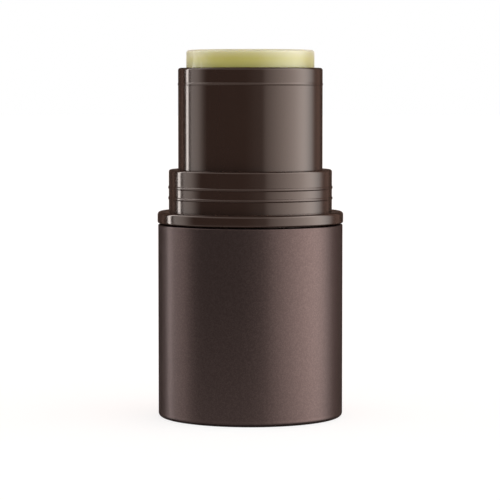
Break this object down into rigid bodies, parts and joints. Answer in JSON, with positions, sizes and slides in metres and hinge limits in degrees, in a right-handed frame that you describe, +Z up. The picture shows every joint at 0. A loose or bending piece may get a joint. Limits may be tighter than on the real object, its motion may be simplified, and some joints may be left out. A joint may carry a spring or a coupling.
{
  "type": "lip balm stick",
  "caption": "Twist-up balm stick without its cap: a satin sleeve turns a screw that raises the balm in a glossy tube.",
  "frame": {"origin": "centre of the sleeve's foot, on the surface that it stands on", "axes": "+Z up along the stick's axis, from the foot to the balm; -Y faces the viewer of the picture"},
  "size_m": [0.0252, 0.0252, 0.0496],
  "materials": {
    "satin_sleeve": "satin brown metallic coat",
    "glossy_plastic": "polished dark brown moulding",
    "core_plastic": "plain brown moulding",
    "screw_plastic": "natural off-white moulding",
    "ring_rubber": "plain black silicone",
    "balm": "waxy, slightly translucent"
  },
  "bodies": {
    "base": {"base_sleeve": "satin_sleeve", "base_core": "core_plastic", "spindle": "screw_plastic"},
    "barrel": {"collar": "glossy_plastic", "drag_ring": "ring_rubber", "barrel": "glossy_plastic"},
    "carrier": {"elevator": "screw_plastic", "balm": "balm"}
  },
  "joints": [
    {"name": "barrel_turn", "type": "hinge", "parent": "base", "child": "barrel", "pos_m": [0, 0, 0.0263], "axis": [0, 0, -1], "range_deg": [-209, 1259]},
    {"name": "elevator_lift", "type": "slide", "parent": "barrel", "child": "carrier", "axis": [0, 0, 1], "range_m": [-0.0035, 0.021]}
  ],
  "couplings": [
    {"joint": "elevator_lift", "follows": "barrel_turn", "m_per_rad": 0.00095493}
  ]
}
